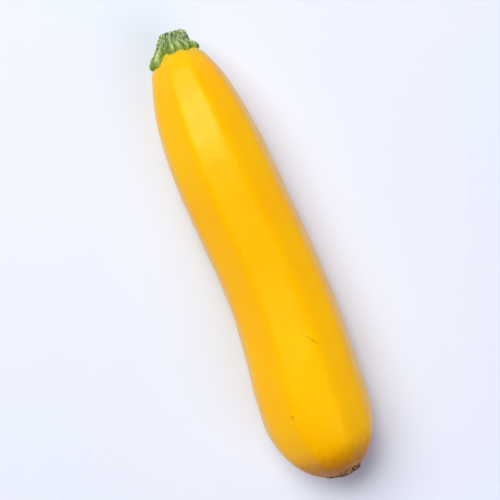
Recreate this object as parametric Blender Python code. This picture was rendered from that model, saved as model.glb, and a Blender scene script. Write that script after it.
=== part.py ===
"""A yellow courgette, as picked, lying on its side.

Metres, +Z up. +Y runs along the fruit towards its stem. The origin is the middle of the bottom of
the whole box, so the courgette lies on the plane z = 0.

There are three pieces: the fruit, its cut stem, and the corky scar that its flower left. Each one
is a UV sphere whose points are moved onto the piece's surface. The sphere's +Z pole goes to the
side nearer the stem, and its meridians become the lines that run along the courgette. Angles are
measured round the fruit from its top, +Z, towards +X.
"""

import math

import bmesh
import bpy
from mathutils import Vector

# Fruit
FRUIT_LENGTH = 0.1914
BELLY_RADIUS = 0.0238
NECK_RADIUS = 0.0218
BELLY_ENDS_AT = 0.034  # from the blossom end, where the fruit starts to narrow
NECK_STARTS_AT = 0.094  # from the blossom end, where it is down to the neck's radius
BLOSSOM_LENGTH = 0.0315  # how much of the fruit the rounding of each end takes
SHOULDER_LENGTH = 0.066
BLOSSOM_FULLNESS = 0.85  # 1 rounds the end as an ellipse, and less makes it squarer
SHOULDER_FULLNESS = 0.66
# The centre line's sideways bend: (share of the length from the blossom end, x).
SPINE_BEND = (
    (0.0, -0.0008),
    (0.12, -0.0015),
    (0.22, -0.0007),
    (0.31, 0.0010),
    (0.41, 0.0020),
    (0.52, 0.0016),
    (0.66, 0.0001),
    (0.82, -0.0008),
    (1.0, -0.0008),
)
# Ten soft ridges, from ten strands under the skin. A facet faces straight down.
RIDGE_ANGLES = (-66, -22, 19, 57, 96, 128, 160, 200, 232, 264)
RIDGE_SHARPNESS = 26  # the higher, the flatter the facets between the ridges
CONTACT_DEPTH = 0.0003  # how far the underside is pressed flat where it lies
FRUIT_SEGMENTS = 60
FRUIT_ROWS = 36
SHOULDER_SHARE = 0.36  # the share of the fruit's rows that each rounded end takes
BLOSSOM_SHARE = 0.3

# Stem
STEM_HEIGHT = 0.0076  # from the fruit's end to the cut
STEM_RADIUS = 0.0055
STEM_LEAN = math.radians(16)  # towards +X
CUT_TILT = math.radians(9)  # the cut faces this far towards +X, so it isn't square to the stem
STEM_WAIST = 0.3  # how far down its side the stem stays straight
STEM_SWELL = 0.18  # how far each rib swells below the cut, as a share of its lobe's length
SKIRT_FLARE = 0.0010  # how far the skirt between two lobes reaches past the stem's radius
# The stem's ribs: the angle, how far past the stem's radius the rib's lobe reaches on the shoulder,
# and half the lobe's width in degrees.
RIBS = (
    (-70, 0.0064, 34),
    (-32, 0.0020, 14),
    (-9, 0.0039, 17),
    (14, 0.0031, 16),
    (33, 0.0045, 17),
    (52, 0.0040, 20),
    (80, 0.0048, 24),
    (118, 0.0040, 22),
    (156, 0.0053, 24),
    (200, 0.0057, 25),
    (238, 0.0036, 20),
)
RIB_HALF_WIDTH = 15  # degrees, on the stem itself
RIB_HEIGHT = 0.0012
CUT_SCALLOP = 0.0004  # how much lower the cut's edge is between two ribs
LOBE_THICKNESS = 0.0025
SKIRT_THICKNESS = 0.0016
# A lobe's profile: how far out its top starts and ends and its round tip bulges, as shares of its
# reach, and how high the bulge is, as a share of its thickness.
LOBE_START = 0.6
LOBE_TOP_END = 0.78
LOBE_TIP = 0.97
LOBE_BULGE = 0.5
STEM_SEGMENTS = 90
# The rows of each stretch, from the middle of the cut to the middle of the underside.
STEM_STRETCHES = (("cut", 3), ("side", 9), ("rim", 4), ("seat", 5))

# Flower scar
SCAR_RADIUS = 0.0080
SCAR_THICKNESS = 0.0008
SCAR_DISH = 0.0004  # how much thinner it is inside its rim
STYLE_RADIUS = 0.0018  # the stub in the middle
SCAR_SEGMENTS = 40
SCAR_STRETCHES = (("seat", 3), ("rim", 2), ("face", 6))

SEAT_GAP = 0.0003  # between the fruit and what sits on it
SHARP_ANGLE = math.radians(65)  # edges sharper than this, as round the stem's cut, aren't smoothed

UP = Vector((0, 0, 1))


def clear_scene():
    for obj in list(bpy.data.objects):
        bpy.data.objects.remove(obj)


def ease(share):
    """0 to 1 with level ends."""
    share = min(max(share, 0), 1)
    return share * share * (3 - 2 * share)


def angle_between(first, second):
    """The angle in degrees from one direction round the fruit to another, without sign."""
    return abs((first - second + 180) % 360 - 180)


def spine_x(share):
    """The bend's sideways offset: a cubic through SPINE_BEND, with each slope from the two neighbours."""
    points = SPINE_BEND
    last = len(points) - 2
    k = next((i for i in range(last) if share < points[i + 1][0]), last)

    def slope(i):
        before = points[max(i - 1, 0)]
        after = points[min(i + 1, last + 1)]
        return (after[1] - before[1]) / (after[0] - before[0])

    (start, x0), (end, x1) = points[k], points[k + 1]
    span = end - start
    t = (share - start) / span
    return (
        x0 * (1 + 2 * t) * (1 - t) ** 2
        + x1 * t * t * (3 - 2 * t)
        + span * slope(k) * t * (1 - t) ** 2
        - span * slope(k + 1) * t * t * (1 - t)
    )


def body_radius(y):
    """The radius without the ends' rounding, y from the blossom end. It is the centre line's height
    too, so the whole underside lies on the table."""
    narrowed = ease((y - BELLY_ENDS_AT) / (NECK_STARTS_AT - BELLY_ENDS_AT))
    return BELLY_RADIUS + (NECK_RADIUS - BELLY_RADIUS) * narrowed


def facets(angle):
    """The section's outline, 1 on average: a polygon with a corner at each ridge, all its corners soft."""
    total = 0
    for k, ridge in enumerate(RIDGE_ANGLES):
        next_ridge = RIDGE_ANGLES[(k + 1) % len(RIDGE_ANGLES)]
        width = (next_ridge - ridge) % 360
        off = angle_between(angle, ridge + width / 2)
        if off < 90:
            nearness = math.cos(math.radians(off)) / math.cos(math.radians(width / 2))
            total += nearness**RIDGE_SHARPNESS
    return total ** (-1 / RIDGE_SHARPNESS)


def fruit_point(share, angle):
    """A point of the skin, share from 0 at the stem end to 1 at the blossom end."""
    if share < SHOULDER_SHARE:
        turn = share / SHOULDER_SHARE * math.pi / 2
        y = FRUIT_LENGTH - SHOULDER_LENGTH * (1 - math.cos(turn))
        rounding = math.sin(turn) ** SHOULDER_FULLNESS
    elif share > 1 - BLOSSOM_SHARE:
        turn = (1 - share) / BLOSSOM_SHARE * math.pi / 2
        y = BLOSSOM_LENGTH * (1 - math.cos(turn))
        rounding = max(math.sin(turn), 0) ** BLOSSOM_FULLNESS
    else:
        middle = (share - SHOULDER_SHARE) / (1 - BLOSSOM_SHARE - SHOULDER_SHARE)
        shoulder_y = FRUIT_LENGTH - SHOULDER_LENGTH
        y = shoulder_y + (BLOSSOM_LENGTH - shoulder_y) * middle
        rounding = 1
    radius = body_radius(y) * rounding * facets(angle)
    around = math.radians(angle)
    return Vector(
        (
            spine_x(y / FRUIT_LENGTH) + radius * math.sin(around),
            y,
            body_radius(y) + radius * math.cos(around),
        )
    )


def skin_point(share, angle, height):
    """A point this far above the skin."""
    step = 1e-3
    near = min(max(share, step), 1 - step)  # off the poles, where there is no way round
    down = fruit_point(near + step, angle) - fruit_point(near - step, angle)
    around = fruit_point(near, angle + 1) - fruit_point(near, angle - 1)
    return fruit_point(share, angle) + height * down.cross(around).normalized()


def shoulder_share(reach):
    """Where the shoulder is this far from the centre line, as a share for fruit_point."""
    turn = math.asin((reach / NECK_RADIUS) ** (1 / SHOULDER_FULLNESS))
    return SHOULDER_SHARE * turn / (math.pi / 2)


def blossom_share(reach):
    """The same for the blossom end."""
    turn = math.asin((reach / BELLY_RADIUS) ** (1 / BLOSSOM_FULLNESS))
    return 1 - BLOSSOM_SHARE * turn / (math.pi / 2)


def rib_and_lobe(angle):
    """How much of a rib and of a lobe the stem has at this angle, from 0 to 1, and its reach."""
    rib, lobe, past_stem = 0, 0, SKIRT_FLARE
    for at, length, half_width in RIBS:
        off = angle_between(angle, at)
        rib = max(rib, ease(1 - off / RIB_HALF_WIDTH))
        here = math.sqrt(max(1 - (off / half_width) ** 4, 0))
        lobe = max(lobe, here)
        past_stem = max(past_stem, length * here)
    return rib, lobe, STEM_RADIUS + past_stem


def bezier(a, b, c, d, t):
    return a * (1 - t) ** 3 + b * 3 * t * (1 - t) ** 2 + c * 3 * t * t * (1 - t) + d * t**3


def stem_point(stretch, t, angle):
    """A point of the stem, t from 0 to 1 along one stretch of its profile at this angle."""
    axis = Vector((math.sin(STEM_LEAN), math.cos(STEM_LEAN), 0))
    across = Vector((math.cos(CUT_TILT), -math.sin(CUT_TILT), 0))
    around = math.radians(angle)
    outward = UP * math.cos(around) + across * math.sin(around)
    rib, lobe, reach = rib_and_lobe(angle)
    cut_middle = fruit_point(0, 0) + axis * STEM_HEIGHT
    cut_edge = cut_middle + outward * (STEM_RADIUS + RIB_HEIGHT * (rib - 0.5))
    cut_edge -= axis * CUT_SCALLOP * (1 - rib)
    if stretch == "cut":
        return cut_middle.lerp(cut_edge, t)

    thickness = SKIRT_THICKNESS + (LOBE_THICKNESS - SKIRT_THICKNESS) * lobe
    top_end = skin_point(shoulder_share(reach * LOBE_TOP_END), angle, thickness)
    if stretch == "side":
        swell = STEM_SWELL * rib * (reach - STEM_RADIUS)
        waist = cut_edge - axis * STEM_HEIGHT * STEM_WAIST + outward * swell
        start = skin_point(shoulder_share(reach * LOBE_START), angle, thickness)
        return bezier(cut_edge, waist, start, top_end, t)

    rim = shoulder_share(reach)
    if stretch == "rim":
        tip = shoulder_share(reach * LOBE_TIP)
        over = skin_point(tip, angle, thickness)
        under = skin_point(tip, angle, thickness * LOBE_BULGE)
        return bezier(top_end, over, under, skin_point(rim, angle, SEAT_GAP), t)
    return skin_point(rim * (1 - t), angle, SEAT_GAP)


def scar_point(stretch, t, angle):
    """A point of the scar, t from 0 to 1 along one stretch of its profile at this angle."""
    rim = blossom_share(SCAR_RADIUS)
    if stretch == "seat":
        return skin_point(1 + (rim - 1) * t, angle, SEAT_GAP)
    top = SEAT_GAP + SCAR_THICKNESS
    if stretch == "rim":
        return skin_point(rim, angle, SEAT_GAP).lerp(skin_point(rim, angle, top), t)
    inward = SCAR_RADIUS * (1 - t)
    dish = ease((SCAR_RADIUS - inward) / (SCAR_RADIUS - STYLE_RADIUS) * 2)
    stub = ease(2 - inward / STYLE_RADIUS)
    return skin_point(blossom_share(inward), angle, top - SCAR_DISH * dish * (1 - stub))


def in_stretches(stretches, point):
    """A surface given in stretches of rows, as one function of (row, angle)."""

    def place(row, angle):
        for name, rows in stretches:
            if row <= rows:
                return point(name, row / rows, angle)
            row -= rows
        return point(name, 1, angle)

    return place


def closed_surface(name, segments, rows, place, material):
    """A UV sphere whose points are moved to place(row, angle), with rows counted from its +Z pole."""
    shape = bmesh.new()
    bmesh.ops.create_uvsphere(shape, u_segments=segments, v_segments=rows, radius=1)
    for vertex in shape.verts:
        x, y, z = vertex.co
        row = round(math.acos(min(max(z, -1), 1)) / math.pi * rows)
        vertex.co = place(row, math.degrees(math.atan2(y, x)))
    mesh = bpy.data.meshes.new(name)
    shape.to_mesh(mesh)
    shape.free()
    mesh.shade_smooth()
    mesh.set_sharp_from_angle(angle=SHARP_ANGLE)
    mesh.materials.append(material)
    return bpy.data.objects.new(name, mesh)


def make_material(name, colour, roughness):
    made = bpy.data.materials.new(name)
    made.use_nodes = True
    shader = made.node_tree.nodes["Principled BSDF"]
    shader.inputs["Base Color"].default_value = (*colour, 1)
    shader.inputs["Roughness"].default_value = roughness
    shader.inputs["Metallic"].default_value = 0
    return made


def press_flat(obj, depth):
    """Presses the lowest part of an object flat, as where it lies on a table."""
    floor = min(vertex.co.z for vertex in obj.data.vertices) + depth
    for vertex in obj.data.vertices:
        vertex.co.z = max(vertex.co.z, floor)


def make_fruit():
    skin = make_material("skin", (0.94, 0.5, 0.01), 0.35)
    fruit = closed_surface(
        "fruit",
        FRUIT_SEGMENTS,
        FRUIT_ROWS,
        lambda row, angle: fruit_point(row / FRUIT_ROWS, angle),
        skin,
    )
    press_flat(fruit, CONTACT_DEPTH)
    return fruit


def make_stem():
    rows = sum(count for _, count in STEM_STRETCHES)
    green = make_material("stem", (0.16, 0.27, 0.06), 0.7)
    place = in_stretches(STEM_STRETCHES, stem_point)
    return closed_surface("stem", STEM_SEGMENTS, rows, place, green)


def make_scar():
    rows = sum(count for _, count in SCAR_STRETCHES)
    cork = make_material("cork", (0.22, 0.13, 0.06), 0.9)
    place = in_stretches(SCAR_STRETCHES, scar_point)
    return closed_surface("flower_scar", SCAR_SEGMENTS, rows, place, cork)


def stand_on_origin(holder, parts):
    """Moves the parts' parent so that the middle of the bottom of their box is the origin."""
    corners = [vertex.co for part in parts for vertex in part.data.vertices]
    low = Vector(min(corner[axis] for corner in corners) for axis in range(3))
    high = Vector(max(corner[axis] for corner in corners) for axis in range(3))
    holder.location = (-(low.x + high.x) / 2, -(low.y + high.y) / 2, -low.z)


def main():
    clear_scene()
    collection = bpy.data.collections.new("courgette")
    bpy.context.scene.collection.children.link(collection)
    holder = bpy.data.objects.new("courgette", None)
    collection.objects.link(holder)
    parts = [make_fruit(), make_stem(), make_scar()]
    for part in parts:
        collection.objects.link(part)
        part.parent = holder
    stand_on_origin(holder, parts)


main()
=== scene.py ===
"""The looks of a yellow courgette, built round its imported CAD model.

Everything is in metres. +Y runs along the fruit towards its stem and +Z is up. Each piece, apart
from the stem's bristles, is a fine version of the CAD solid that it replaces, made by the same
rules with more detail: a closed grid of rows, from the middle of its end nearer +Y to the middle
of its other end, and columns, which are directions round the fruit from its top, +Z, towards +X.
Angles go round in the same way, and are in degrees where nothing else is said.
"""

import math
import random

import bpy
import numpy as np
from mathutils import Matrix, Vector, noise


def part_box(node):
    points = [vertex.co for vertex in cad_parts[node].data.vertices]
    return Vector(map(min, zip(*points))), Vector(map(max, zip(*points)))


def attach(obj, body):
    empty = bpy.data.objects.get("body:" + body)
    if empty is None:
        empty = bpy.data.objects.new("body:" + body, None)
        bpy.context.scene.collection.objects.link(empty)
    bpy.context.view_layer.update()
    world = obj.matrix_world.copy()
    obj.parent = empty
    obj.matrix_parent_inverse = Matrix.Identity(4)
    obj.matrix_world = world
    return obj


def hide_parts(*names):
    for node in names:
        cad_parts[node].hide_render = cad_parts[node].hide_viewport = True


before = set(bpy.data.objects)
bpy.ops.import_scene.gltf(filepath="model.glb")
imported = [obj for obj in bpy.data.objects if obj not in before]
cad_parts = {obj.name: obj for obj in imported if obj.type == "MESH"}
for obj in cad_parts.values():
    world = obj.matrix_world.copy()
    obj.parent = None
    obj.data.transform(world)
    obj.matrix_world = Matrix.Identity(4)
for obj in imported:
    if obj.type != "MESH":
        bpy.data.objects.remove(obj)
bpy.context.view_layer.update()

# The fruit's form, as in the CAD model
FRUIT_LOW, FRUIT_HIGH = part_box("fruit")
FRUIT_LENGTH = FRUIT_HIGH[1] - FRUIT_LOW[1]
BELLY_RADIUS = 0.0238
NECK_RADIUS = 0.0218
BELLY_ENDS_AT = 0.034
NECK_STARTS_AT = 0.094
BLOSSOM_LENGTH = 0.0315
SHOULDER_LENGTH = 0.066
BLOSSOM_FULLNESS = 0.85
SHOULDER_FULLNESS = 0.66
SPINE_BEND = (
    (0.0, -0.0008),
    (0.12, -0.0015),
    (0.22, -0.0007),
    (0.31, 0.0010),
    (0.41, 0.0020),
    (0.52, 0.0016),
    (0.66, 0.0001),
    (0.82, -0.0008),
    (1.0, -0.0008),
)
RIDGE_ANGLES = (-66, -22, 19, 57, 96, 128, 160, 200, 232, 264)
CONTACT_DEPTH = 0.0003
SHOULDER_SHARE = 0.36
BLOSSOM_SHARE = 0.3

# Its finer form: the ridges are crisper at the neck than at the blossom end
NECK_SHARPNESS = 30
BLOSSOM_SHARPNESS = 22
WAVES = ((0.022, 0.00016), (0.008, 0.00004))  # how long and how high the skin's slight waves are
SWELLING_HEIGHT = 0.0005  # the skin swells a little just outside the stem's skirt and lobes
SWELLING_OFF = 0.0007
SWELLING_WIDTH = 0.0012
PUCKERS = 17  # the skin is gathered into small folds round the flower scar
PUCKER_DEPTH = 0.0002
PUCKER_REACH = 0.0045
PUCKER_SINK = 0.4  # how far the folds sink below the skin, as a share of their depth
PUCKER_BUNCHES = 3  # how many times round the scar they bunch up
PUCKER_BUNCHING = 1.5  # and how far that shifts them, in radians of their own rhythm
FRUIT_ROWS = 300
FRUIT_COLUMNS = 260

# Its marks: a faint streak, the old scratch that it leads to, that scratch's darker middle, and a
# small spot. Each has a start and an end, as x and the distance from the blossom end, then its
# width and its darkness.
SCRATCHES = (
    ((-0.0020, 0.0692), (0.0048, 0.0630), 0.0007, 0.2),
    ((0.0040, 0.0636), (0.0099, 0.0558), 0.0006, 0.3),
    ((0.0062, 0.0606), (0.0092, 0.0567), 0.0009, 0.5),
    ((-0.0112, 0.0318), (-0.0112, 0.0326), 0.0018, 0.4),
)
SCRATCHES_ABOVE = 0.03  # this high and higher, so that they aren't on its underside too
PORE_SPACING = 0.0021
GREEN_TINGE = (0.0075, 0.0015)  # where this starts and is full, from the stem end
BROWNING_AND_SHADE = (0.021, 0.005)  # and these, from the blossom end, where the skin browns and is darkened with painted shade
CORK_FLECKS = (0.0050, 0.0035)
WAX = (0.008, 0.035)

# The stem's form, as in the CAD model, apart from its first lobe, which is slightly wider here
STEM_HEIGHT = 0.0076
STEM_RADIUS = 0.0055
STEM_LEAN = math.radians(16)
CUT_TILT = math.radians(9)
STEM_WAIST = 0.3
STEM_SWELL = 0.18
SKIRT_FLARE = 0.0010
RIBS = (  # the angle of each, how far its lobe reaches past the stem, and the lobe's half width
    (-70, 0.0064, 37),
    (-32, 0.0020, 14),
    (-9, 0.0039, 17),
    (14, 0.0031, 16),
    (33, 0.0045, 17),
    (52, 0.0040, 20),
    (80, 0.0048, 24),
    (118, 0.0040, 22),
    (156, 0.0053, 24),
    (200, 0.0057, 25),
    (238, 0.0036, 20),
)
RIB_HALF_WIDTH = 15
RIB_HEIGHT = 0.0012
CUT_SCALLOP = 0.0004
LOBE_THICKNESS = 0.0025
SKIRT_THICKNESS = 0.0016
LOBE_START = 0.6
LOBE_TOP_END = 0.78
LOBE_TIP = 0.97
LOBE_BULGE = 0.5

# Its finer form
STEM_COLUMNS = 480
# Its stretches, from the cut's middle to the seat's, and how many rows each has
STEM_STRETCHES = (("cut", 24), ("edge", 8), ("side", 90), ("rim", 26), ("seat", 6))
CUT_ROUNDING = 0.0018  # the cut's edge has dried and rounded
CUT_FULLNESS = 0.7
CUT_NOTCH_AT = -14  # a notch in the cut's edge
CUT_NOTCH_DEPTH = 0.0010
CUT_NOTCH_WIDTH = 6
RIDGES = (  # pale ridges: the angle of each over the lobes, and how far it turns on its way up
    (-48, -14),
    (0, -8),
    (17, 4),
    (36, 11),
    (62, -4),
    (88, 3),
    (118, 0),
    (156, -5),
    (200, 4),
    (238, 0),
    (275, 6),
)
RIDGE_WIDTH = 6
RIDGE_HEIGHT = 0.00028
LOBES_FROM = 0.6  # the share of the way down the side where the lobes' furrows and colour begin
LOBES_OVER = 0.25
FURROWS = (-76, -17, 8, 26, 49, 75, 101, 137, 178, 219, 257)  # furrows between the lobes, darkened with painted shade
FURROW_WIDTH = 4.5
FURROW_DEPTH = 0.0004
STRANDS = (6, 0.7, 0.00022)  # how fine they are round the stem and along it, and how high
FIBRES = (17, 2.2, 0.00014)
WARTS = (0.0007, 0.00025)  # their size and height
PITH_LUMPS = (0.0012, 0.00022)
CREST_BASE = 0.27  # how pale the side is where it is level
CREST_WEIGHTS = (0.45, 0.4, 0.5, 0.9)  # how much ridges, strands, fibres and warts add to it

BRISTLES = 1100
BRISTLE_LENGTH = 0.0006
BRISTLE_SHORTEST = 0.45  # as a share of the longest
BRISTLE_RADIUS = 0.00004
BRISTLE_ROOT = 4  # how deep in the stem each starts, in its own radii
BRISTLE_SPREAD = 0.35  # how far from a rib they stand, as a share of its lobe's half width
BRISTLE_LEAN = 0.25  # how far they lean towards the cut
BRISTLE_STRAY = 0.35  # how much they differ in direction
BRISTLE_SEED = 7

# The flower scar's form, as in the CAD model
SCAR_RADIUS = 0.0080
SCAR_THICKNESS = 0.0008
SCAR_DISH = 0.0004
STYLE_RADIUS = 0.0018

# Its finer form
SCAR_EDGE = 0.00015  # how high its edge stands
SCAR_EDGE_OVER = 0.12  # the share of the way in over which it rises from there
STYLE_HEIGHT = 0.0004  # how much the stub of the style adds to the height of the face
SCAR_RAGGED = 0.09  # how ragged its edge is, as a share of its radius
SCAR_RAGGED_TIMES = 2.5
SCAR_SPREAD = 0.0013  # it is longer than wide, and domed on one side
SCAR_SPREAD_AT = 52
SCAR_DOME = 0.0013
SCAR_DOME_AT = 28
SCAR_DOME_OVER = 0.35
SCAR_LUMPS = (0.0016, 0.0004)  # their size and height
SCAR_GRAIN = (0.0006, 0.00016)
SCAR_CRACKS = (0.0016, 0.00025)  # how far apart and how deep they are
SCAR_CRACK_WIDTH = 0.16
SCAR_SMOOTH_ROWS = 5  # the rows at its edge over which lumps and cracks fade out
SCAR_COLUMNS = 240
# Its stretches, from the seat's middle to the face's, and how many rows each has
SCAR_STRETCHES = (("seat", 6), ("rim", 8), ("face", 60))

SUNK = 0.0004  # the stem and the scar grow out of the fruit, so their undersides lie inside it

# Colours, as linear red, green and blue. Two together are the ends of a mottle.
GOLDEN = ((1.0, 0.475, 0.0), (1.0, 0.52, 0.0))
GOLDEN_STREAK = (1.0, 0.56, 0.0)
GOLDEN_SPECKLE = (1.0, 0.58, 0.02)
GOLDEN_GLINT = (1, 0.6, 0.0, 1)
GOLDEN_GLOW = (1.0, 0.35, 0.02)  # how far each colour of light spreads in the flesh
SKIN_BY_STEM = (0.70, 0.52, 0.02)
# browner and darker by the blossom end: partly the skin's own browning, partly painted shade
SKIN_BY_SCAR_BROWN_AND_SHADE = (0.42, 0.14, 0.0)
SKIN_FLECK = (0.16, 0.07, 0.02)
SKIN_SCRATCH = (0.30, 0.11, 0.01)
STEM_LOW = ((0.065, 0.125, 0.02), (0.14, 0.22, 0.05))
STEM_HIGH = ((0.31, 0.43, 0.15), (0.58, 0.68, 0.34))
STEM_GLOW = (0.6, 1.0, 0.2)
LOBE = ((0.09, 0.19, 0.003), (0.31, 0.43, 0.025))
LOBE_RIDGE = (0.60, 0.72, 0.28)
# painted shade in the furrows between the lobes
LOBE_FURROW_SHADE = (0.04, 0.09, 0.004)
LOBE_RIM = (0.22, 0.34, 0.006)
PITH = ((0.30, 0.27, 0.12), (0.60, 0.58, 0.34))
PITH_FIBRE = (0.26, 0.22, 0.09)
PITH_VESSEL = (0.16, 0.17, 0.05)
PITH_RIND = (0.22, 0.30, 0.09)
BRISTLE = ((0.55, 0.64, 0.40), (0.78, 0.82, 0.62))
CORK = ((0.08, 0.03, 0.018), (0.36, 0.21, 0.09))
CORK_GREY = (0.58, 0.46, 0.28)
CORK_GREEN = (0.30, 0.32, 0.12)
CORK_CRACK = (0.035, 0.018, 0.008)
FLOOR = ((0.75, 0.80, 0.895), (0.77, 0.82, 0.915))


def ease(share):
    """0 to 1 with level ends."""
    share = np.clip(share, 0, 1)
    return share * share * (3 - 2 * share)


def angle_between(first, second):
    return np.abs((first - second + 180) % 360 - 180)


def mixed(a, b, t):
    return a + (b - a) * t


def hump(off, width):
    """1 where off is 0, and nearly 0 where it is twice this width or more."""
    return np.exp(-((off / width) ** 2))


def spine_x(share):
    """The bend's sideways offset, as in the CAD model."""
    at, x = np.array(SPINE_BEND).T
    slopes = np.empty(len(at))
    slopes[1:-1] = (x[2:] - x[:-2]) / (at[2:] - at[:-2])
    slopes[0] = (x[1] - x[0]) / (at[1] - at[0])
    slopes[-1] = (x[-1] - x[-2]) / (at[-1] - at[-2])
    k = np.clip(np.searchsorted(at, share, side="right") - 1, 0, len(at) - 2)
    span = at[k + 1] - at[k]
    t = (share - at[k]) / span
    return (
        x[k] * (1 + 2 * t) * (1 - t) ** 2
        + x[k + 1] * t * t * (3 - 2 * t)
        + span * slopes[k] * t * (1 - t) ** 2
        - span * slopes[k + 1] * t * t * (1 - t)
    )


def body_radius(y):
    """The fruit's radius this far from its blossom end, before its ends are rounded."""
    narrowed = ease((y - BELLY_ENDS_AT) / (NECK_STARTS_AT - BELLY_ENDS_AT))
    return mixed(BELLY_RADIUS, NECK_RADIUS, narrowed)


def facets(angle, sharpness):
    """The section's outline, a polygon with a soft corner at each ridge. A sharp one would be at 1."""
    total = 0
    for k, ridge in enumerate(RIDGE_ANGLES):
        width = (RIDGE_ANGLES[(k + 1) % len(RIDGE_ANGLES)] - ridge) % 360
        off = np.radians(angle_between(angle, ridge + width / 2))
        nearness = np.maximum(np.cos(off), 0) / math.cos(math.radians(width / 2))
        total = total + nearness**sharpness
    return total ** (-1 / sharpness)


def fruit_surface(share, angle):
    """Points of the skin. share runs from 0 at the stem end to 1 at the blossom end."""
    shoulder_turn = np.clip(share / SHOULDER_SHARE, 0, 1) * math.pi / 2
    blossom_turn = np.clip((1 - share) / BLOSSOM_SHARE, 0, 1) * math.pi / 2
    middle = np.clip((share - SHOULDER_SHARE) / (1 - BLOSSOM_SHARE - SHOULDER_SHARE), 0, 1)
    y = mixed(FRUIT_LENGTH - SHOULDER_LENGTH, BLOSSOM_LENGTH, middle)
    y = y + SHOULDER_LENGTH * np.cos(shoulder_turn) - BLOSSOM_LENGTH * np.cos(blossom_turn)
    rounding = np.sin(shoulder_turn) ** SHOULDER_FULLNESS * np.sin(blossom_turn) ** BLOSSOM_FULLNESS
    along = y / FRUIT_LENGTH
    sharpness = mixed(BLOSSOM_SHARPNESS, NECK_SHARPNESS, ease(along))
    radius = body_radius(y) * rounding * facets(angle, sharpness)
    around = np.radians(angle)
    x = spine_x(along) + radius * np.sin(around)
    z = body_radius(y) + radius * np.cos(around)
    return np.stack([x, y, z], axis=-1)


def above_skin(share, angle, height):
    """Points this far above the skin."""
    step = 1e-3
    near = np.clip(share, step, 1 - step)
    down = fruit_surface(near + step, angle) - fruit_surface(near - step, angle)
    around = fruit_surface(near, angle + 1) - fruit_surface(near, angle - 1)
    normal = np.cross(down, around)
    normal /= np.linalg.norm(normal, axis=-1, keepdims=True)
    return fruit_surface(share, angle) + np.asarray(height)[..., None] * normal


def shoulder_share(reach):
    """The share of the way down the skin where the shoulder has this radius."""
    turn = np.arcsin((reach / NECK_RADIUS) ** (1 / SHOULDER_FULLNESS))
    return SHOULDER_SHARE * turn / (math.pi / 2)


def blossom_share(reach):
    """The share of the way down the skin where the blossom end has this radius."""
    turn = np.arcsin((reach / BELLY_RADIUS) ** (1 / BLOSSOM_FULLNESS))
    return 1 - BLOSSOM_SHARE * turn / (math.pi / 2)


def ribs(angle):
    """How much of a rib and of a lobe the stem has at these angles, from 0 to 1, and its reach."""
    rib, lobe = np.zeros_like(angle), np.zeros_like(angle)
    past_stem = np.full_like(angle, SKIRT_FLARE)
    for at, length, half_width in RIBS:
        off = angle_between(angle, at)
        rib = np.maximum(rib, ease(1 - off / RIB_HALF_WIDTH))
        here = np.sqrt(np.clip(1 - (off / half_width) ** 4, 0, 1))
        lobe = np.maximum(lobe, here)
        past_stem = np.maximum(past_stem, length * here)
    return rib, lobe, STEM_RADIUS + past_stem


def bezier(a, b, c, d, t):
    """A cubic curve from a to d, which b and c pull on."""
    return a * (1 - t) ** 3 + b * 3 * t * (1 - t) ** 2 + c * 3 * t * t * (1 - t) + d * t**3


# Grids: arrays of points, [row, column, xyz], whose first and last rows are single points.


def grid_of(rows, columns):
    """(row share, angle in degrees) of each point of a grid."""
    shares, angles = np.linspace(0, 1, rows + 1), np.arange(columns) * 360 / columns
    return np.broadcast_arrays(shares[:, None], angles[None, :])


def normals_of(grid):
    down = np.gradient(grid, axis=0)
    around = np.roll(grid, -1, axis=1) - np.roll(grid, 1, axis=1)
    normals = np.cross(down, around)
    length = np.linalg.norm(normals, axis=-1, keepdims=True)
    normals = normals / np.maximum(length, 1e-12)
    normals[0] = normals[1].mean(axis=0)
    normals[-1] = normals[-2].mean(axis=0)
    return normals


def noise_at(points, size, octaves=3):
    """Smooth noise from about -1 to 1, whose features are about this size."""
    flat = (points / size).reshape(-1, 3)
    values = [noise.fractal(Vector(p), 0.6, 2.0, octaves) for p in flat.tolist()]
    return np.array(values).reshape(points.shape[:-1])


def mesh_of(name, grid, material, masks=()):
    """A closed, smooth mesh of a grid. masks are (name, [row, column] values) for its materials."""
    rows, columns = grid.shape[0] - 1, grid.shape[1]
    points = np.concatenate([grid[0, :1], grid[1:-1].reshape(-1, 3), grid[-1, :1]])
    last = len(points) - 1
    ring = 1 + np.arange(columns) + columns * np.arange(rows - 1)[:, None]
    across = np.roll(ring, -1, axis=1)
    quads = np.stack([ring[:-1], ring[1:], across[1:], across[:-1]], axis=-1).reshape(-1, 4)
    first_fan = [(0, a, b) for a, b in zip(ring[0].tolist(), across[0].tolist())]
    last_fan = [(last, b, a) for a, b in zip(ring[-1].tolist(), across[-1].tolist())]
    mesh = bpy.data.meshes.new(name)
    mesh.from_pydata(points.tolist(), [], first_fan + quads.tolist() + last_fan)
    for mask, values in masks:
        flat = np.concatenate([values[0, :1], values[1:-1].reshape(-1), values[-1, :1]])
        mesh.attributes.new(mask, "FLOAT", "POINT").data.foreach_set("value", flat.astype(np.float32))
    return piece_of(name, mesh, material)


def piece_of(name, mesh, material):
    mesh.shade_smooth()
    mesh.materials.append(material)
    piece = bpy.data.objects.new(name, mesh)
    bpy.context.scene.collection.objects.link(piece)
    return piece


# Materials


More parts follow.
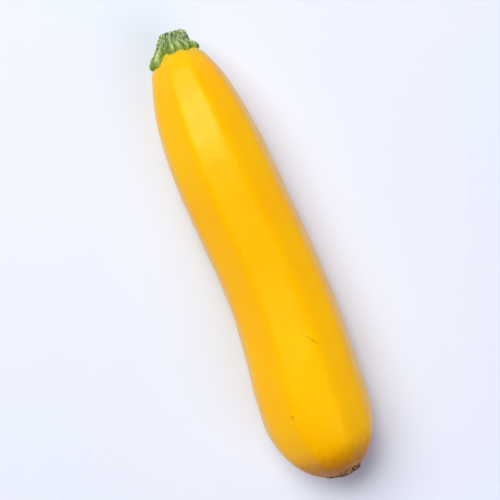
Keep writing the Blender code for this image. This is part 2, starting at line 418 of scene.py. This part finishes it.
class Nodes:
    """A material's node tree, with a short call for each kind of node that it uses."""

    def __init__(self, name):
        self.material = bpy.data.materials.new(name)
        self.material.use_nodes = True
        self.tree = self.material.node_tree
        self.shader = self.tree.nodes["Principled BSDF"]
        self.place = self.add("ShaderNodeTexCoord").outputs["Object"]

    def add(self, kind, inputs=(), **settings):
        node = self.tree.nodes.new(kind)
        for name, value in settings.items():
            setattr(node, name, value)
        for name, value in dict(inputs).items():
            self.put(node.inputs[name], value)
        return node

    def put(self, socket, value):
        if isinstance(value, bpy.types.NodeSocket):
            self.tree.links.new(value, socket)
        else:
            socket.default_value = value

    def set(self, **inputs):
        for name, value in inputs.items():
            self.put(self.shader.inputs[name.replace("_", " ")], value)

    def math(self, operation, a, b):
        return self.add("ShaderNodeMath", {0: a, 1: b}, operation=operation).outputs[0]

    def vector(self, operation, inputs, output="Vector"):
        return self.add("ShaderNodeVectorMath", inputs, operation=operation).outputs[output]

    def ramp(self, value, low, high, to_low=0.0, to_high=1.0):
        """value from low..high to to_low..to_high, smoothly and held between them."""
        inputs = {"Value": value, "From Min": low, "From Max": high, "To Min": to_low, "To Max": to_high}
        return self.add("ShaderNodeMapRange", inputs, interpolation_type="SMOOTHSTEP").outputs[0]

    def ragged(self, along, rough, wander, low, high):
        """As ramp, along an axis, with an edge that wanders this far with the noise rough."""
        return self.ramp(self.add_up(along, self.times(rough, wander)), low, high)

    def noise(self, size, detail=3.0, stretch=(1, 1, 1)):
        """Noise from 0 to 1 whose features are about this size, stretched along the axes."""
        scale = [1 / size / s for s in stretch]
        place = self.add("ShaderNodeMapping", {"Vector": self.place, "Scale": scale}).outputs[0]
        inputs = {"Vector": place, "Scale": 1.0, "Detail": detail, "Roughness": 0.55}
        return self.add("ShaderNodeTexNoise", inputs).outputs["Fac"]

    def add_up(self, a, b):
        return self.math("ADD", a, b)

    def times(self, a, b):
        return self.math("MULTIPLY", a, b)

    def axis(self, name):
        """The place along one of the axes, in metres."""
        return self.add("ShaderNodeSeparateXYZ", {"Vector": self.place}).outputs[name]

    def dots(self, spacing):
        """The distance from the nearest of scattered points, in metres."""
        inputs = {"Vector": self.place, "Scale": 1 / spacing}
        distance = self.add("ShaderNodeTexVoronoi", inputs).outputs["Distance"]
        return self.times(distance, spacing)

    def mix(self, amount, a, b):
        """From colour a, where the amount is 0, to colour b, where it is 1."""
        node = self.add("ShaderNodeMix", data_type="RGBA")
        self.put(node.inputs[0], amount)
        for socket, value in zip(node.inputs[6:8], (a, b)):
            self.put(socket, (*value, 1) if isinstance(value, tuple) else value)
        return node.outputs[2]

    def mask(self, name):
        """The values that mesh_of keeps under this name."""
        return self.add("ShaderNodeAttribute", attribute_name=name).outputs["Fac"]

    def bump(self, height, depth, strength=1.0):
        """A bump whose full height is depth metres."""
        inputs = {"Height": height, "Distance": depth, "Strength": strength}
        self.set(Normal=self.add("ShaderNodeBump", inputs).outputs[0])

    def distance_to(self, start, end):
        """The distance from a line between two points (x, y), seen from straight above."""
        line = Vector((*end, 0)) - Vector((*start, 0))
        plan = self.vector("MULTIPLY", {0: self.place, 1: (1, 1, 0)})
        from_start = self.vector("SUBTRACT", {0: plan, 1: (*start, 0)})
        along = self.vector("DOT_PRODUCT", {0: from_start, 1: line / line.length_squared}, "Value")
        share = self.add("ShaderNodeClamp", {0: along}).outputs[0]
        on_line = self.vector("SCALE", {0: line, "Scale": share})
        return self.vector("DISTANCE", {0: from_start, 1: on_line}, "Value")


def skin_material():
    n = Nodes("yellow_skin")
    golden = n.mix(n.ramp(n.noise(0.03), 0.35, 0.65), *GOLDEN)
    streaks = n.ramp(n.noise(0.0025, 4, stretch=(1, 14, 1)), 0.4, 0.75, 0, 0.25)
    colour = n.mix(streaks, golden, GOLDEN_STREAK)
    speckles = n.ramp(n.dots(PORE_SPACING), 0.0001, 0.0004, 0.22, 0)
    colour = n.mix(speckles, colour, GOLDEN_SPECKLE)
    along = n.axis("Y")
    stem_end, blossom_end = FRUIT_HIGH[1], FRUIT_LOW[1]
    rough = n.noise(0.0035, 4)
    near_stem = n.ragged(along, rough, 0.004, *(stem_end - off for off in GREEN_TINGE))
    colour = n.mix(n.times(near_stem, 0.55), colour, SKIN_BY_STEM)
    # the blossom end browner and darker: partly its own browning, partly painted shade
    browned_and_shaded_end = n.ragged(along, rough, 0.006, *(blossom_end + off for off in BROWNING_AND_SHADE))
    colour = n.mix(browned_and_shaded_end, colour, SKIN_BY_SCAR_BROWN_AND_SHADE)
    flecks = n.ragged(along, n.noise(0.0022, 5), 0.0045, *(blossom_end + off for off in CORK_FLECKS))
    colour = n.mix(n.times(flecks, 0.8), colour, SKIN_FLECK)
    marks = 0
    for start, end, width, darkness in SCRATCHES:
        ends = [(x, blossom_end + y) for x, y in (start, end)]
        wander = n.times(n.noise(0.0015, 2), 0.0005)
        mark = n.ramp(n.add_up(n.distance_to(*ends), wander), 0.0002 + width / 2, 0.0003, 0, darkness)
        marks = n.math("MAXIMUM", marks, mark)
    marks = n.times(marks, n.ramp(n.axis("Z"), SCRATCHES_ABOVE, SCRATCHES_ABOVE + 0.005))
    colour = n.mix(marks, colour, SKIN_SCRATCH)
    n.set(Base_Color=colour, Specular_Tint=GOLDEN_GLINT, IOR=1.38)
    n.set(Roughness=n.ramp(n.noise(0.006, 5), 0.3, 0.7, 0.32, 0.42))
    n.set(Subsurface_Weight=0.2, Subsurface_Radius=GOLDEN_GLOW, Subsurface_Scale=0.004)
    waxy = n.ramp(along, *(blossom_end + off for off in WAX), 0, 0.17)
    n.set(Coat_Weight=waxy, Coat_Roughness=0.26)
    pores = n.ramp(n.dots(PORE_SPACING), 0.0, 0.0005)
    grain = n.add_up(n.times(n.noise(0.0009, 3), 0.5), n.times(pores, 0.5))
    n.bump(grain, 0.00003, 0.5)
    return n.material


def stem_material():
    n = Nodes("green_stem")
    crest, ridge, lobe, furrow_and_shade = (n.mask(name) for name in ("crest", "ridge", "lobe", "furrow_and_shade"))
    cut, rim, centre = (n.mask(name) for name in ("cut", "rim", "centre"))
    mottle = n.ramp(n.noise(0.0007, 4), 0.42, 0.58)
    low = n.mix(mottle, *STEM_LOW)
    high = n.mix(n.ramp(n.noise(0.0005, 3), 0.35, 0.65), *STEM_HIGH)
    side = n.mix(n.ramp(crest, 0.15, 0.8), low, high)
    side = n.mix(n.times(lobe, 0.7), side, n.mix(mottle, *LOBE))
    on_ridge = n.times(n.times(lobe, ridge), n.ramp(mottle, 0, 1, 0.45, 1))
    side = n.mix(on_ridge, side, LOBE_RIDGE)
    # painted shade: the furrows between the lobes are darkened
    side = n.mix(n.times(furrow_and_shade, 0.85), side, LOBE_FURROW_SHADE)
    side = n.mix(n.times(rim, 0.55), side, LOBE_RIM)
    pith = n.mix(n.ramp(n.noise(0.0005, 4), 0.35, 0.65), *PITH)
    face = n.mix(n.ramp(n.noise(0.0009, 5), 0.35, 0.6), PITH_FIBRE, pith)
    vessels = n.times(n.ramp(n.dots(0.0016), 0.0003, 0.0006, 1, 0), n.ramp(centre, 0.35, 0.6))
    face = n.mix(n.times(vessels, 0.6), face, PITH_VESSEL)
    face = n.mix(n.ramp(centre, 0.8, 0.97), face, PITH_RIND)
    n.set(Base_Color=n.mix(cut, side, face))
    n.set(Roughness=n.ramp(n.noise(0.0012, 3), 0.3, 0.7, 0.5, 0.75))
    n.set(Subsurface_Weight=0.06, Subsurface_Radius=STEM_GLOW, Subsurface_Scale=0.0005)
    n.bump(n.noise(0.0004, 4), 0.00014, 0.8)
    return n.material


def bristle_material():
    n = Nodes("bristles")
    n.set(Base_Color=n.mix(n.noise(0.001), *BRISTLE))
    n.set(Roughness=0.6)
    return n.material


def cork_material():
    n = Nodes("cork_scar")
    crack, high = n.mask("crack"), n.mask("high")
    colour = n.mix(n.ramp(high, 0.35, 0.75), *CORK)
    colour = n.mix(n.ramp(n.noise(0.0009, 4), 0.56, 0.68), colour, CORK_GREY)
    colour = n.mix(n.ramp(n.noise(0.0025, 2), 0.55, 0.7, 0, 0.3), colour, CORK_GREEN)
    n.set(Base_Color=n.mix(n.times(crack, 0.95), colour, CORK_CRACK))
    n.set(Roughness=0.85)
    n.bump(n.noise(0.0003, 5), 0.00015, 0.8)
    return n.material


def floor_material():
    n = Nodes("pale_floor")
    n.set(Base_Color=n.mix(n.noise(0.2), *FLOOR))
    n.set(Roughness=0.7)
    return n.material


# Pieces


def make_fruit():
    """The skin, and how far it and the pieces on it are moved to lie where the CAD model lies."""
    share, angle = grid_of(FRUIT_ROWS, FRUIT_COLUMNS)
    grid = fruit_surface(share, angle)
    height = sum(noise_at(grid, size) * depth for size, depth in WAVES)
    from_stem = np.hypot(grid[..., 0] - grid[0, 0, 0], grid[..., 2] - grid[0, 0, 2])
    outside = from_stem - ribs(angle)[2] - SWELLING_OFF
    swelling = hump(outside, SWELLING_WIDTH) * (share < SHOULDER_SHARE)
    height = height + SWELLING_HEIGHT * swelling
    from_scar = np.hypot(grid[..., 0] - grid[-1, 0, 0], grid[..., 2] - grid[-1, 0, 2]) - SCAR_RADIUS
    gathered = hump(from_scar, PUCKER_REACH) * (share > 1 - BLOSSOM_SHARE)
    bunched = PUCKER_BUNCHING * np.sin(np.radians(angle) * PUCKER_BUNCHES)
    folds = np.sin(np.radians(angle) * PUCKERS + bunched)
    height = height + PUCKER_DEPTH * gathered * (folds - PUCKER_SINK)
    grid = grid + normals_of(grid) * height[..., None]
    floor = fruit_surface(np.array(SHOULDER_SHARE), np.array(180.0))[2] + CONTACT_DEPTH
    grid[..., 2] = np.maximum(grid[..., 2], floor)
    middle = (grid[..., 0].min() + grid[..., 0].max()) / 2
    shift = np.array([(FRUIT_LOW[0] + FRUIT_HIGH[0]) / 2 - middle, FRUIT_LOW[1], -floor])
    return mesh_of("fruit_skin", grid + shift, skin_material()), shift


def stem_grid():
    """The stem's plain form, one row of points after another from the cut's middle to the seat's."""
    axis = np.array([math.sin(STEM_LEAN), math.cos(STEM_LEAN), 0])
    across = np.array([math.cos(CUT_TILT), -math.sin(CUT_TILT), 0])
    angle = np.arange(STEM_COLUMNS) * 360 / STEM_COLUMNS
    around = np.radians(angle)[:, None]
    outward = np.cos(around) * (0, 0, 1) + np.sin(around) * across
    rib, lobe, reach = ribs(angle)
    end = fruit_surface(np.array(0.0), np.array(0.0))
    cut_middle = end + axis * STEM_HEIGHT
    notch = CUT_NOTCH_DEPTH * hump(angle_between(angle, CUT_NOTCH_AT), CUT_NOTCH_WIDTH)
    below = CUT_SCALLOP * (1 - rib) + notch
    cut_edge = cut_middle + outward * (STEM_RADIUS + RIB_HEIGHT * (rib - 0.5))[:, None]
    cut_edge = cut_edge - axis * below[:, None]
    bevel_start = mixed(cut_edge, cut_middle, CUT_ROUNDING / STEM_RADIUS)
    side_start = cut_edge - axis * CUT_ROUNDING
    swell = STEM_SWELL * rib * (reach - STEM_RADIUS)
    waist = cut_edge - axis * STEM_HEIGHT * STEM_WAIST + outward * swell[:, None]
    thickness = mixed(SKIRT_THICKNESS, LOBE_THICKNESS, lobe)
    start = above_skin(shoulder_share(reach * LOBE_START), angle, thickness)
    top_end = above_skin(shoulder_share(reach * LOBE_TOP_END), angle, thickness)
    tip = shoulder_share(reach * LOBE_TIP)
    over = above_skin(tip, angle, thickness)
    under = above_skin(tip, angle, thickness * LOBE_BULGE)
    rim = shoulder_share(reach)
    bottom = above_skin(rim, angle, -SUNK)
    rows = []
    for stretch, count in STEM_STRETCHES:
        for t in np.arange(0 if stretch == "cut" else 1, count + 1) / count:
            if stretch == "cut":
                rows.append(mixed(cut_middle, bevel_start, t))
            elif stretch == "edge":
                upper = mixed(bevel_start, cut_edge, CUT_FULLNESS)
                lower = mixed(side_start, cut_edge, CUT_FULLNESS)
                rows.append(bezier(bevel_start, upper, lower, side_start, t))
            elif stretch == "side":
                rows.append(bezier(side_start, waist, start, top_end, t))
            elif stretch == "rim":
                rows.append(bezier(top_end, over, under, bottom, t))
            else:
                rows.append(above_skin(rim * (1 - t), angle, -SUNK))
    return np.array(rows)


def pale_ridges(angle, down):
    """How much of a pale ridge the stem's side has here, from 0 to 1."""
    ridge = np.zeros_like(down)
    for at, turn in RIDGES:
        off = angle_between(angle, at + turn * (1 - down))
        ridge = np.maximum(ridge, hump(off, RIDGE_WIDTH))
    return ridge


def along_stem(angle, down, fineness):
    """Noise drawn out along the stem. fineness is round the stem, and then along it."""
    around = np.radians(angle)
    ring = np.stack([np.cos(around), np.sin(around), np.zeros(len(angle))], axis=-1)[None]
    along = down[..., None] * np.array([0, 0, 1.0])
    return noise_at(ring * fineness[0] + along * fineness[1], 1.0, 2)


def make_stem(shift):
    grid = stem_grid()
    angle = np.arange(STEM_COLUMNS) * 360 / STEM_COLUMNS
    cut_rows, edge_rows, side_rows, rim_rows, _ = (count for _, count in STEM_STRETCHES)
    row = np.arange(len(grid))[:, None] * np.ones(STEM_COLUMNS)
    cut = ease((cut_rows - row) / edge_rows * 2 + 0.5)
    down = np.clip((row - cut_rows) / (edge_rows + side_rows), 0, 1)
    free = ease((cut_rows + edge_rows + side_rows + rim_rows - row) / (rim_rows / 2)) * (1 - cut)
    strands = along_stem(angle, down, STRANDS[:2])
    fibres = along_stem(angle, down, FIBRES[:2])
    warts = noise_at(grid, WARTS[0], 3)
    ridge = pale_ridges(angle, down)
    lobes = ease((down - LOBES_FROM) / LOBES_OVER)
    furrow_and_shade = lobes * sum(hump(angle_between(angle, at), FURROW_WIDTH) for at in FURROWS)
    height = STRANDS[2] * strands + FIBRES[2] * fibres + WARTS[1] * warts
    height = height + RIDGE_HEIGHT * ridge - FURROW_DEPTH * furrow_and_shade
    grid = grid + normals_of(grid) * (free * height)[..., None]
    face = (1 - ease((row - cut_rows) / edge_rows)) * ease(row / 4)
    lumps = PITH_LUMPS[1] * face * noise_at(grid, PITH_LUMPS[0], 4)
    grid = grid + normals_of(grid) * lumps[..., None]
    reliefs = zip(CREST_WEIGHTS, (ridge, strands, fibres, warts))
    crest = sum((weight * relief for weight, relief in reliefs), CREST_BASE)
    masks = (
        ("crest", np.clip(crest, 0, 1)),
        ("ridge", ridge),
        ("lobe", lobes),
        ("furrow_and_shade", furrow_and_shade),
        ("cut", cut),
        ("rim", ease((row - cut_rows - edge_rows - side_rows) / rim_rows * 1.3)),
        ("centre", np.clip(row / (cut_rows + edge_rows), 0, 1)),
    )
    return mesh_of("stem_stub", grid + shift, stem_material(), masks)


def make_bristles(shift):
    """Short stiff hairs on the stem's ribs, each a slim three-sided cone that points outward and up."""
    draw = random.Random(BRISTLE_SEED)
    grid = stem_grid()
    normals = normals_of(grid)
    first = STEM_STRETCHES[0][1] + STEM_STRETCHES[1][1] + 2
    last = first + STEM_STRETCHES[2][1] + STEM_STRETCHES[3][1] // 2
    towards_cut = Vector((math.sin(STEM_LEAN), math.cos(STEM_LEAN), 0))
    points, faces = [], []
    while len(faces) < 4 * BRISTLES:
        at, _, half_width = draw.choice(RIBS)
        angle = draw.gauss(at, half_width * BRISTLE_SPREAD)
        row = draw.randint(first, last)
        column = round(angle / 360 * STEM_COLUMNS) % STEM_COLUMNS
        foot = Vector(grid[row, column] + shift)
        out = Vector(normals[row, column])
        if foot.z + out.z * BRISTLE_LENGTH < BRISTLE_LENGTH:
            continue
        stray = Vector(draw.gauss(0, BRISTLE_STRAY) for _ in range(3))
        lean = (out + towards_cut * BRISTLE_LEAN + stray).normalized()
        side = lean.orthogonal().normalized() * BRISTLE_RADIUS
        other = lean.cross(side)
        base = foot - out * BRISTLE_RADIUS * BRISTLE_ROOT
        k = len(points)
        for turn in (0, math.tau / 3, math.tau * 2 / 3):
            points.append(base + side * math.cos(turn) + other * math.sin(turn))
        points.append(foot + lean * BRISTLE_LENGTH * draw.uniform(BRISTLE_SHORTEST, 1))
        faces += [(k, k + 1, k + 3), (k + 1, k + 2, k + 3), (k + 2, k, k + 3), (k, k + 2, k + 1)]
    mesh = bpy.data.meshes.new("stem_bristles")
    mesh.from_pydata(points, [], faces)
    return piece_of("stem_bristles", mesh, bristle_material())


def make_scar(shift):
    angle = np.arange(SCAR_COLUMNS) * 360 / SCAR_COLUMNS
    around = np.radians(angle)
    circle = np.stack([np.cos(around), np.sin(around), np.zeros(SCAR_COLUMNS)], axis=-1)
    ragged = noise_at(circle * SCAR_RAGGED_TIMES, 1.0, 4)
    radius = SCAR_RADIUS * (1 + SCAR_RAGGED * ragged)
    radius = radius + SCAR_SPREAD * np.cos(2 * np.radians(angle - SCAR_SPREAD_AT))
    domed = SCAR_DOME * np.maximum(np.cos(np.radians(angle - SCAR_DOME_AT)), 0) ** 2
    rim = blossom_share(radius)
    rows = []
    for stretch, count in SCAR_STRETCHES:
        for t in np.arange(0 if stretch == "seat" else 1, count + 1) / count:
            if stretch == "seat":
                rows.append(above_skin(1 + (rim - 1) * t, angle, -SUNK))
            elif stretch == "rim":
                rows.append(above_skin(rim, angle, mixed(-SUNK, SCAR_EDGE, t)))
            else:
                inward = radius * (1 - t)
                rise = ease(t / SCAR_EDGE_OVER) * (SCAR_THICKNESS - SCAR_EDGE)
                rise = rise + domed * ease(t / SCAR_DOME_OVER) * inward / radius
                dish = ease((radius - inward) / (radius - STYLE_RADIUS) * 2)
                stub = ease(2 - inward / STYLE_RADIUS)
                height = SCAR_EDGE + rise - SCAR_DISH * dish * (1 - stub) + STYLE_HEIGHT * stub
                rows.append(above_skin(blossom_share(inward), angle, height))
    grid = np.array(rows)
    row = np.arange(len(grid))[:, None]
    first = SCAR_STRETCHES[0][1] + SCAR_STRETCHES[1][1]
    free = ease((row - first) / SCAR_SMOOTH_ROWS)
    lumps = noise_at(grid, SCAR_LUMPS[0], 4)
    grain = noise_at(grid, SCAR_GRAIN[0], 2)
    elsewhere = grid + 0.05  # so that the cracks don't follow the lumps
    cracks = 1 - np.clip(np.abs(noise_at(elsewhere, SCAR_CRACKS[0], 3)) / SCAR_CRACK_WIDTH, 0, 1)
    height = SCAR_LUMPS[1] * lumps + SCAR_GRAIN[1] * grain - SCAR_CRACKS[1] * cracks
    grid = grid + normals_of(grid) * (free * height)[..., None]
    masks = (("crack", cracks * free), ("high", np.clip(0.5 + lumps, 0, 1)))
    return mesh_of("corky_scar", grid + shift, cork_material(), masks)


def make_floor():
    bpy.ops.mesh.primitive_plane_add(size=4)
    floor = bpy.context.object
    floor.name = "floor"
    floor.data.materials.append(floor_material())


# Light and camera

# Each lamp's name, shape, the direction it shines from, its distance, size, power and colour
LAMPS = (
    ("window", "RECTANGLE", (-0.45, 0.5, 1), 2.4, (1.85, 1.48), 47, (0.99, 1, 0.965)),
    ("clear_pane", "ELLIPSE", (-0.2, 0.36, 1), 2.4, (0.72, 0.72), 11.3, (0.99, 1, 0.965)),
    ("reflector", "RECTANGLE", (0.6, -0.45, 0.8), 2.4, (1.85, 1.48), 16.5, (0.88, 0.77, 1)),
    ("overhead", "RECTANGLE", (0, 0, 1), 3, (3, 3), 7.5, (0.88, 0.88, 1)),
)
WALL_LIGHT = 0.28
CEILING_LIGHT = 0.1
FADE = (0.2, 0.6)  # the heights between which the one turns into the other, where 1 is overhead
ROOM_COLOUR = (0.97, 0.95, 1, 1)
TURN = math.radians(21.86)  # how far the fruit's stem leans to the left of upright in the view
VIEW_CENTRE = (-0.00195, 0.00214)
VIEW_HEIGHT = 0.5188
LENS = 85


def add_area(name, shape, towards, distance, size, power, colour):
    """An area light in this direction from the fruit's middle, in the view's own axes."""
    light = bpy.data.lights.new(name, "AREA")
    light.shape = shape
    light.size, light.size_y = size
    light.energy = power
    light.color = colour
    lamp = bpy.data.objects.new(name, light)
    bpy.context.scene.collection.objects.link(lamp)
    right, up, high = towards
    place = Vector(
        (
            right * math.cos(TURN) + up * math.sin(TURN),
            up * math.cos(TURN) - right * math.sin(TURN),
            high,
        )
    ).normalized() * distance
    lamp.location = place
    lamp.rotation_euler = place.to_track_quat("Z", "Y").to_euler()


def make_light():
    world = bpy.data.worlds.new("soft_room")
    world.use_nodes = True
    tree = world.node_tree
    background = tree.nodes["Background"]
    background.inputs["Color"].default_value = ROOM_COLOUR
    direction = tree.nodes.new("ShaderNodeTexCoord").outputs["Generated"]
    height = tree.nodes.new("ShaderNodeSeparateXYZ")
    tree.links.new(direction, height.inputs[0])
    fade = tree.nodes.new("ShaderNodeMapRange")
    fade.interpolation_type = "SMOOTHSTEP"
    names = ("From Min", "From Max", "To Min", "To Max")
    for name, value in zip(names, (*FADE, WALL_LIGHT, CEILING_LIGHT)):
        fade.inputs[name].default_value = value
    tree.links.new(height.outputs["Z"], fade.inputs["Value"])
    tree.links.new(fade.outputs[0], background.inputs["Strength"])
    bpy.context.scene.world = world
    for lamp in LAMPS:
        add_area(*lamp)
    bpy.context.scene.view_settings.view_transform = "Standard"


def make_camera():
    data = bpy.data.cameras.new("camera")
    data.lens = LENS
    camera = bpy.data.objects.new("camera", data)
    camera.location = (*VIEW_CENTRE, VIEW_HEIGHT)
    camera.rotation_euler = (0, 0, -TURN)
    bpy.context.scene.collection.objects.link(camera)
    bpy.context.scene.camera = camera


fruit, shift = make_fruit()
stem = make_stem(shift)
scar = make_scar(shift)
bristles = make_bristles(shift)
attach(bristles, "root")
grown = ((fruit, "fruit", "skin"), (stem, "stem", "stem"), (scar, "flower_scar", "cork"))
for piece, node, slot in grown:
    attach(piece, "root")
    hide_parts(node)
make_floor()
make_light()
make_camera()
